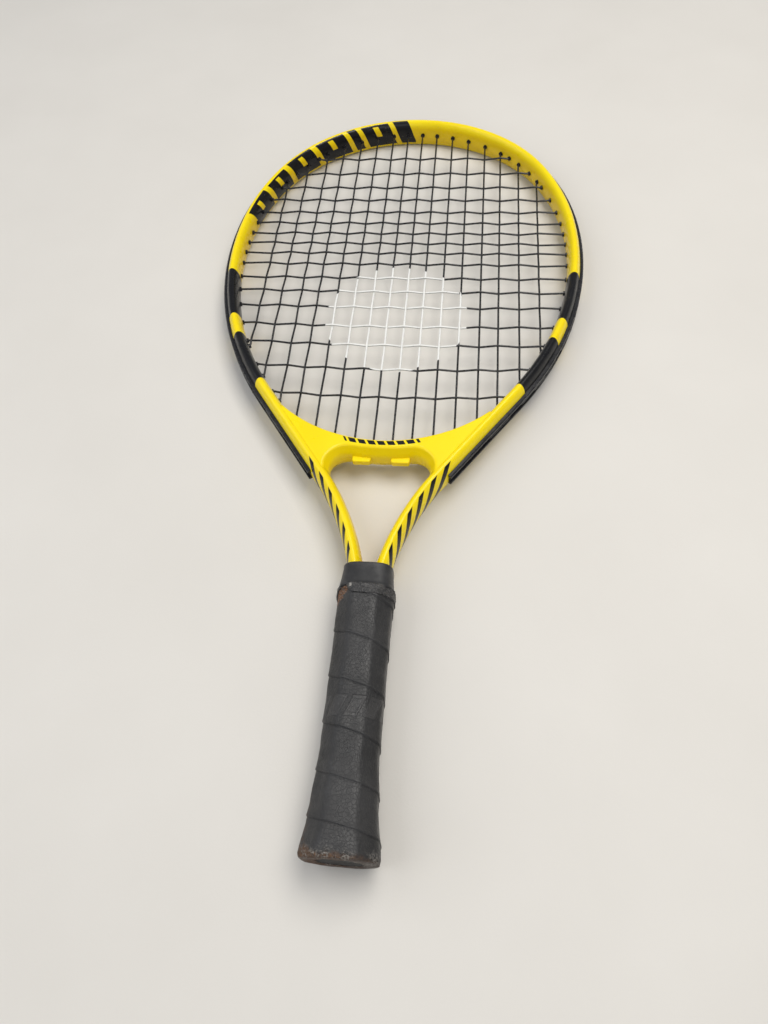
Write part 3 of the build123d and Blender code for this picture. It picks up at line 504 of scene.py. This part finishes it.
def grip_leather():
    """Worn charcoal grip cover: fine grain, an embossed row of slanted panels, frayed brown ends."""
    net = Net("grip_leather")
    colour = net.mix(net.clouds(0.05, 3.0, 0.35, 0.68), COVER_DARK, COVER_LIGHT)
    # painted light: the top of the handle is lighter than its sides
    colour = net.mix(net.both(net.ramp(net.z, 6.0, 14.0), 0.45), colour, COVER_LIT_TOP)

    # brown and frayed where the cover is worn through
    rim, edge, corner, frayed = worn_places(net)
    tan = net.mix(net.clouds(0.9, 4.0, 0.35, 0.65, roughness=0.7), TAN_DARK, TAN_LIGHT)
    torn = net.mix(net.clouds(1.4, 4.0, 0.42, 0.60, roughness=0.7), TORN_DARK, TORN_LIGHT)
    brown = net.either(rim, net.both(edge, 0.45), net.both(corner, 0.95))
    colour = net.mix(brown, colour, net.mix(corner, tan, torn))
    specks = net.both(net.clouds(1.1, 5.0, 0.48, 0.56, roughness=0.8), frayed)
    colour = net.mix(net.both(specks, 0.85), colour, FRAYED_SPECK)
    crease = net.fall(net.cell_edges(0.55), 0.0, 0.10)
    # painted shade darkens the creases
    colour = net.mix(net.both(crease, 0.3), colour, COVER_CREASE_SHADE)
    panel, emboss = embossed_panels(net)
    colour = net.mix(net.both(panel, 0.35), colour, COVER_PANEL)

    rough = net.plus(net.clouds(0.09, 3.0, 0.35, 0.7, 0.36, 0.52), brown, 0.3)
    net.bump(net.total((net.noise(2.6, 5.0, 0.7), 0.5), (crease, -0.3), (specks, 0.8), (emboss, 1.3)), 0.2)
    return net.finish(colour, rough, IOR=1.45)


def band_film():
    """Crumpled thin black film, with painted highlights on its folds."""
    net = Net("band_tape")
    folds = net.noise(0.7, 4.0, 0.65, distortion=1.2)
    # painted highlight: the fold crests are lighter
    colour = net.mix(net.ramp(folds, 0.45, 0.62), FILM_DARK, FILM_FOLD_HIGHLIGHT)
    dust = net.clouds(2.5, 4.0, 0.56, 0.66, roughness=0.7)
    colour = net.mix(net.both(dust, 0.5), colour, FILM_DUST)
    # the film's torn end shows its pale backing
    backing = net.both(
        net.between(net.x, -8.0, -6.6, 0.4),
        net.between(net.y, 126.0, 127.7, 0.4),
        net.ramp(net.z, 4.0, 6.0),
        net.clouds(1.3, 3.0, 0.38, 0.50))
    colour = net.mix(backing, colour, FILM_BACKING)
    net.bump(net.plus(folds, net.noise(3.0, 3.0), 0.15), 0.5)
    return net.finish(colour, net.clouds(0.8, 3.0, 0.3, 0.7, 0.28, 0.5), IOR=1.5)


# ---------------------------------------------------------------- hidden and small parts
def plain(name, dark, light, scale, rough, grain, depth, **fixed):
    """Moulded material: two tones mixed by noise, with a grain."""
    net = Net(name)
    colour = net.mix(net.clouds(scale, 4.0, 0.35, 0.7, roughness=0.6), dark, light)
    net.bump(net.noise(grain, 4.0, 0.65), depth)
    return net.finish(colour, net.clouds(scale * 2, 3.0, 0.3, 0.7, rough - 0.08, rough + 0.08), **fixed)


def brushed_wire():
    """Bright wire with fine lines along X and a brown tarnish."""
    net = Net("staple_wire")
    lie = net.join(net.times(net.x, 0.3), net.times(net.y, 6.0), net.times(net.z, 6.0))
    grain = net.noise(1.0, 4.0, 0.7, vector=lie)
    net.bump(grain, 0.03)
    colour = net.mix(net.clouds(0.7, 4.0, 0.5, 0.7), (0.62, 0.62, 0.63, 1), (0.33, 0.27, 0.21, 1))
    return net.finish(colour, net.ramp(grain, 0.3, 0.7, 0.22, 0.42), Metallic=1.0)


def paint_node(node, material):
    piece = NODES[node]
    if not piece.material_slots:
        piece.data.materials.append(material)
    for slot in piece.material_slots:
        slot.material = material


# ---------------------------------------------------------------- meshes, in mm
def mesh_piece(name, points, faces, material):
    mesh = bpy.data.meshes.new(name)
    mesh.from_pydata([tuple(v * MM for v in p) for p in points], [], faces)
    mesh.validate()
    mesh.update()
    for polygon in mesh.polygons:
        polygon.use_smooth = True
    piece = bpy.data.objects.new(name, mesh)
    bpy.context.scene.collection.objects.link(piece)
    mesh.materials.append(material)
    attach(piece, "root")
    return piece


def tube_grid(rings):
    """Points and faces of a closed chain of rings, each joined to the next and the last to the first."""
    count = len(rings[0])
    points = [p for ring in rings for p in ring]
    faces = []
    for r in range(len(rings)):
        a = r * count
        b = ((r + 1) % len(rings)) * count
        for c in range(count):
            d = (c + 1) % count
            faces.append((a + c, a + d, b + d, b + c))
    return points, faces


def directions(count):
    """For each point of a ring: its angle from +Z towards +X, and the X and Z of its direction."""
    angles = [2 * math.pi * c / count for c in range(count)]
    return [(angle, math.sin(angle), math.cos(angle)) for angle in angles]


def signed(angle):
    """The same angle, from half a turn back to half a turn on."""
    return (angle + math.pi) % (2 * math.pi) - math.pi


def between_rows(table, y):
    """Linear look-up in rows of (y, values...)."""
    if y <= table[0][0]:
        return table[0][1:]
    for low, high in zip(table, table[1:]):
        if y <= high[0]:
            share = (y - low[0]) / (high[0] - low[0])
            return tuple(a + (b - a) * share for a, b in zip(low[1:], high[1:]))
    return table[-1][1:]


# outer size of the wound grip: y, half width, half height, bevel
GRIP_ROWS = (
    (0.6, 17.7, 16.3, 9.3), (2.2, 18.1, 16.6, 9.4), (6.0, 17.9, 16.5, 9.4), (14.0, 16.4, 15.5, 8.9),
    (22.0, 15.55, 14.7, 8.4), (30.0, 15.15, 14.05, 8.0), (36.0, 14.6, 13.5, 7.8), (43.0, 14.1, 13.0, 7.5),
    (98.0, 14.1, 13.0, 7.5), (112.0, 14.35, 13.25, 7.65), (127.2, 14.6, 13.5, 7.8),
)
# y and seam number at the top facet, counted down the handle
SEAM_ROWS = (
    (-8.0, 6.08), (12.9, 5.0), (32.4, 4.0), (54.1, 3.0),
    (76.5, 2.0), (99.8, 1.0), (122.9, 0.0), (146.0, -1.0),
)
GRIP_LOW, GRIP_TOP = 0.6, 127.2
GRIP_THICKNESS = 1.35
GRIP_AROUND = 300          # points round the cover
GRIP_STEP = 0.32           # distance between its rings
INSIDE_STRIDE = 12         # the inside has one ring for this many outside
FACET_SHARPNESS = 18.0     # the cushioned cover softens the handle's edges
GRIP_SHIFT = 0.4           # the flare sits this much to the right
GRIP_SHIFT_TOP = 45.0
FRAY_TOP = 5.0             # the butt's end is frayed up to here
NOISE_RADIUS = 14.0        # noise is read on a round handle of this radius
OVERLAP_FROM = 0.45        # share of a turn from which it climbs over the one below
OVERLAP_RISE = 0.42
OVERLAP_EDGE = 0.985       # share from which the overlap's edge drops away
SEAM_LIP = 0.10
SEAM_LIP_AT, SEAM_LIP_WIDTH = 0.955, 0.022
SEAM_GROOVE = 0.42
SEAM_GROOVE_WIDTH = 0.011
COVER_SINK = 0.22          # the low side of an overlap lies this far inside the outer size
LIP_ROWS = (
    # the lip turned over the butt's end: distance in from the cover's inside, y, how torn
    (0.5, 0.12, 0.0), (2.0, -0.02, 0.1), (6.4, -0.03, 1.0), (6.5, -0.14, 1.0), (4.6, -0.30, 0.7),
    (2.0, -0.36, 0.3), (0.1, -0.30, 0.1), (-0.75, 0.0, 0.0), (-1.15, 0.25, 0.0),
)


def grip_reach(angle, y):
    """Distance from the handle's middle to its soft-cornered octagon at this height."""
    half_width, half_height, bevel = between_rows(GRIP_ROWS, y)
    dx, dz = math.sin(angle), math.cos(angle)
    diagonal = (half_width + half_height - bevel) / math.sqrt(2)
    slant = math.sqrt(0.5)
    facets = ((1, 0, half_width), (0, 1, half_height), (slant, slant, diagonal), (slant, -slant, diagonal))
    total = sum(abs((nx * dx + nz * dz) / away) ** FACET_SHARPNESS for nx, nz, away in facets)
    return total ** (-1.0 / FACET_SHARPNESS)


def grip_shift(y):
    return GRIP_SHIFT * max(0.0, 1.0 - y / GRIP_SHIFT_TOP)


def winding(y, angle):
    """Share of a turn below the seam above this place: 0 just under a seam, 1 just over the next."""
    return (between_rows(SEAM_ROWS, y)[0] - math.degrees(angle) / 360.0) % 1.0


def winding_height(share):
    """Relief of the wound cover: each turn laps over the one below, with a soft edge."""
    rise = OVERLAP_RISE * max(0.0, (share - OVERLAP_FROM) / (1.0 - OVERLAP_FROM)) ** 1.4
    if share > OVERLAP_EDGE:
        rise *= 1.0 - (share - OVERLAP_EDGE) / 0.03
    lip = SEAM_LIP * math.exp(-((share - SEAM_LIP_AT) / SEAM_LIP_WIDTH) ** 2)
    from_seam = share - 1.0 if share > 0.5 else share
    groove = SEAM_GROOVE * math.exp(-(from_seam / SEAM_GROOVE_WIDTH) ** 2)
    return rise + lip - groove - COVER_SINK


def cover_point(angle, dx, dz, y):
    """Place on the outside of the cover: facets, overlaps and dents, frayed near the butt's end."""
    place = Vector((dx * NOISE_RADIUS, y, dz * NOISE_RADIUS))
    reach = grip_reach(angle, y) + winding_height(winding(y, signed(angle)))
    reach += 0.16 * noise.noise(place * 0.16) + 0.07 * noise.noise(place * 0.55)
    lift = 0.0
    if y < FRAY_TOP:
        fray = 1.0 - y / FRAY_TOP
        reach += fray * (0.30 * noise.noise(place * 0.9) + 0.14 * noise.noise(place * 2.3) - 0.15)
        aside = place * 0.7 + Vector((9, 0, 0))
        lift = fray ** 3 * (0.45 * noise.noise(aside) + 0.2 * noise.noise(place * 2.1))
    return dx * reach + grip_shift(y), y + lift, dz * reach


def inside_point(angle, dx, dz, y):
    reach = grip_reach(angle, y) - GRIP_THICKNESS
    return dx * reach + grip_shift(y), y, dz * reach


def lip_point(angle, dx, dz, inward, y, ragged):
    """Place on the cover's torn lip, which is turned over the butt's end."""
    place = Vector((dx * NOISE_RADIUS, y * 3, dz * NOISE_RADIUS))
    torn = ragged * (1.5 * noise.noise(place * 0.22) + 0.8 * noise.noise(place * 0.9))
    reach = grip_reach(angle, GRIP_LOW) - GRIP_THICKNESS - inward + torn
    return dx * reach + grip_shift(y), y + 0.05 * noise.noise(place * 1.4), dz * reach


def grip_cover():
    """Cover wound spirally round the handle and the butt's flare."""
    ways = directions(GRIP_AROUND)
    rows = int((GRIP_TOP - GRIP_LOW) / GRIP_STEP)
    rise = (GRIP_TOP - GRIP_LOW) / rows
    up = range(rows + 1)
    down = range(0, rows + 1, INSIDE_STRIDE)
    outside = [[cover_point(*way, GRIP_LOW + rise * r) for way in ways] for r in up]
    inside = [[inside_point(*way, GRIP_TOP - rise * r) for way in ways] for r in down]
    lip = [[lip_point(*way, *row) for way in ways] for row in LIP_ROWS]
    points, faces = tube_grid(outside + inside + lip)
    return mesh_piece("grip_cover", points, faces, GRIP)


BAND_LOW, BAND_TOP = 122.75, 128.15
BAND_AROUND = 420
BAND_SEAT = 0.6            # the film's hidden side is pressed this deep into the cover
BAND_CLEARANCE = 0.13
TEAR_DEPTH = 4.6
TEAR_ANGLE, TEAR_SPREAD = -52.0, 21.0
BAND_ROWS = (
    # share of the way up, and height over the cover; the hidden side has height 0
    (0.0, 0.0), (0.0, 0.26), (0.08, 0.34), (0.18, 0.32), (0.3, 0.3), (0.42, 0.31), (0.54, 0.3),
    (0.66, 0.31), (0.78, 0.3), (0.88, 0.31), (0.96, 0.3), (1.0, 0.2), (1.0, 0.0), (0.5, 0.0),
)


def band_point(angle, dx, dz, share, height):
    """Place on the film: folds, a ragged lower edge, and a torn spot at the upper left."""
    side = Vector((dx * NOISE_RADIUS, 0, dz * NOISE_RADIUS))
    torn = TEAR_DEPTH * math.exp(-((math.degrees(signed(angle)) - TEAR_ANGLE) / TEAR_SPREAD) ** 4)
    low = BAND_LOW + torn + 0.35 * noise.noise(side * 0.5) + (0.25 + torn * 0.12) * noise.noise(side * 1.7)
    y = low + (BAND_TOP - low) * share
    reach = grip_reach(angle, y)
    if height:
        folds = abs(noise.noise(Vector((dx * 9, y * 0.9, dz * 9)) * 0.55))
        folds += 0.6 * abs(noise.noise(Vector((dx * NOISE_RADIUS, y, dz * NOISE_RADIUS)) * 0.7))
        reach += (BAND_CLEARANCE + height + 0.42 * folds) * (1.0 - 0.08 * torn)
    else:
        reach -= BAND_SEAT
    return dx * reach, y, dz * reach


def finishing_band():
    """Thin crumpled film over the grip's end."""
    ways = directions(BAND_AROUND)
    points, faces = tube_grid([[band_point(*way, *row) for way in ways] for row in BAND_ROWS])
    return mesh_piece("finishing_band", points, faces, BAND)


SLEEVE_AROUND = 192
SLEEVE_POWER = 3.3         # between an ellipse, 2, and a rectangle
SLEEVE_ROWS = (
    # y, half width, half height: round one lip, up the outside, over the other lip and down inside
    (128.0, 13.5, 11.9), (127.7, 13.7, 12.1), (127.65, 14.05, 12.45), (127.95, 14.3, 12.72),
    (128.45, 14.4, 12.8), (128.95, 14.3, 12.7), (129.4, 14.15, 12.5), (130.5, 14.0, 12.35),
    (133.0, 13.72, 12.1), (136.0, 13.4, 11.8), (138.4, 13.15, 11.6), (139.5, 13.08, 11.52),
    (140.1, 13.16, 11.6), (140.7, 13.18, 11.62), (141.1, 13.0, 11.45), (141.2, 12.7, 11.2),
    (141.0, 12.35, 10.9), (140.3, 12.15, 10.7), (137.0, 12.3, 10.8), (131.0, 12.85, 11.1),
    (128.6, 13.2, 11.5),
)


def sleeve_point(dx, dz, y, half_width, half_height):
    place = Vector((dx * 14, y, dz * 12))
    total = abs(dx / half_width) ** SLEEVE_POWER + abs(dz / half_height) ** SLEEVE_POWER
    reach = total ** (-1 / SLEEVE_POWER) + 0.07 * noise.noise(place * 0.25)
    return dx * reach, y + 0.10 * noise.noise(place * 0.3), dz * reach


def rubber_sleeve():
    """Stretched collar: rolled lips, and a soft-cornered section that hugs both legs."""
    ways = directions(SLEEVE_AROUND)
    points, faces = tube_grid([[sleeve_point(dx, dz, *row) for _, dx, dz in ways] for row in SLEEVE_ROWS])
    outward = [face[::-1] for face in faces]
    piece = mesh_piece("rubber_sleeve", points, outward, COLLAR)
    smooth = piece.modifiers.new("smooth", "SUBSURF")
    smooth.levels = 1
    smooth.render_levels = 1
    return piece


# ---------------------------------------------------------------- stage
FLOOR_HALF_SIZE = 3.0
FLOOR_AT_BUTT = (6.0, -16.75)      # y and z in mm under the butt's flare
FLOOR_AT_HEAD = (527.0, -9.9)      # and under the top of the head
FLOOR_SHADE, FLOOR_PALE = (0.60, 0.575, 0.53, 1), (0.66, 0.635, 0.59, 1)
LIGHTS = (
    # name, place, target, size, power, colour
    ("key", (0.42, 0.52, 1.35), (0, 0.25, 0), (1.2, 0.8), 17, (1.0, 0.97, 0.92)),
    ("fill", (-1.1, 0.1, 1.1), (0, 0.3, 0), (1.4, 1.4), 9.5, (0.95, 0.97, 1.0)),
    ("low", (0.3, -1.0, 0.9), (0, 0.2, 0), (1.0, 0.6), 3.0, (1, 1, 1)),
)
SKY = (0.9, 0.93, 1.0, 1)
SKY_STRENGTH = 0.34
CAMERA_PLACE = (45.83, -39.61, 361.83)         # mm
CAMERA_TURN = (31.3068, 3.5368, 4.9113)        # degrees about X, then Y, then Z
CAMERA_LENS = 27.035                           # mm, for a sensor 36 mm wide


def add_floor():
    """Pale floor under the butt's flare and the head's underside."""
    mesh = bpy.data.meshes.new("floor")
    size = FLOOR_HALF_SIZE
    corners = [(-size, -size, 0), (size, -size, 0), (size, size, 0), (-size, size, 0)]
    mesh.from_pydata(corners, [], [(0, 1, 2, 3)])
    floor = bpy.data.objects.new("floor", mesh)
    bpy.context.scene.collection.objects.link(floor)
    (butt_y, butt_z), (head_y, head_z) = FLOOR_AT_BUTT, FLOOR_AT_HEAD
    floor.location = (0, butt_y * MM, butt_z * MM)
    floor.rotation_euler = (math.atan2(head_z - butt_z, head_y - butt_y), 0, 0)
    net = Net("floor_pale")
    net.bump(net.noise(0.8, 3.0), 0.05)
    mesh.materials.append(net.finish(net.mix(net.noise(0.01, 3.0), FLOOR_SHADE, FLOOR_PALE), 0.62))


def add_light(name, place, target, size, power, colour):
    data = bpy.data.lights.new(name, "AREA")
    data.shape = "RECTANGLE"
    data.size, data.size_y = size
    data.energy = power
    data.color = colour
    light = bpy.data.objects.new(name, data)
    bpy.context.scene.collection.objects.link(light)
    light.location = place
    light.rotation_euler = (Vector(target) - Vector(place)).to_track_quat("-Z", "Y").to_euler()


def add_sky():
    world = bpy.data.worlds.new("studio")
    world.use_nodes = True
    background = world.node_tree.nodes["Background"]
    background.inputs["Color"].default_value = SKY
    background.inputs["Strength"].default_value = SKY_STRENGTH
    bpy.context.scene.world = world
    bpy.context.scene.view_settings.view_transform = "Standard"


def add_camera():
    """The photograph's point of view."""
    data = bpy.data.cameras.new("photo_view")
    data.sensor_width = 36
    data.lens = CAMERA_LENS
    data.clip_start = 0.01
    data.clip_end = 20
    camera = bpy.data.objects.new("photo_view", data)
    bpy.context.scene.collection.objects.link(camera)
    turn = Euler([math.radians(angle) for angle in CAMERA_TURN]).to_matrix().to_4x4()
    camera.matrix_world = Matrix.Translation(Vector(CAMERA_PLACE) * MM) @ turn
    bpy.context.scene.camera = camera


add_camera()
add_floor()
for row in LIGHTS:
    add_light(*row)
add_sky()

GRIP = grip_leather()
COLLAR = collar_rubber()
BAND = band_film()
STRINGS = string_material()
STRIPS = strip_plastic()
FOAM = plain("handle_foam", (0.36, 0.30, 0.20, 1), (0.50, 0.43, 0.31, 1), 0.2, 0.75, 1.6, 0.25)
LOOKS = {
    "frame_tube": frame_paint(),
    "throat_yoke": yoke_paint(),
    "bumper_guard": STRIPS,
    "left_grommet_strip": STRIPS,
    "right_grommet_strip": STRIPS,
    "main_string": STRINGS,
    "cross_string": STRINGS,
    "tie_off_knots": STRINGS,
    "handle_shell_upper": FOAM,
    "handle_shell_lower": FOAM,
    "leg_spacer": plain(
        "spacer_plastic", (0.03, 0.03, 0.03, 1), (0.06, 0.06, 0.06, 1), 0.2, 0.5, 1.8, 0.1),
    "butt_cap": plain(
        "cap_plastic", (0.006, 0.006, 0.006, 1), (0.016, 0.015, 0.014, 1), 0.15, 0.62, 2.4, 0.12, IOR=1.35),
    "butt_cap_staples": brushed_wire(),
    "finishing_tape": BAND,
    "grip_tape": GRIP,
    "rubber_collar": COLLAR,
}
for node, look in LOOKS.items():
    paint_node(node, look)

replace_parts(grip_cover(), "grip_tape")
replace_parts(rubber_sleeve(), "rubber_collar")
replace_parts(finishing_band(), "finishing_tape")
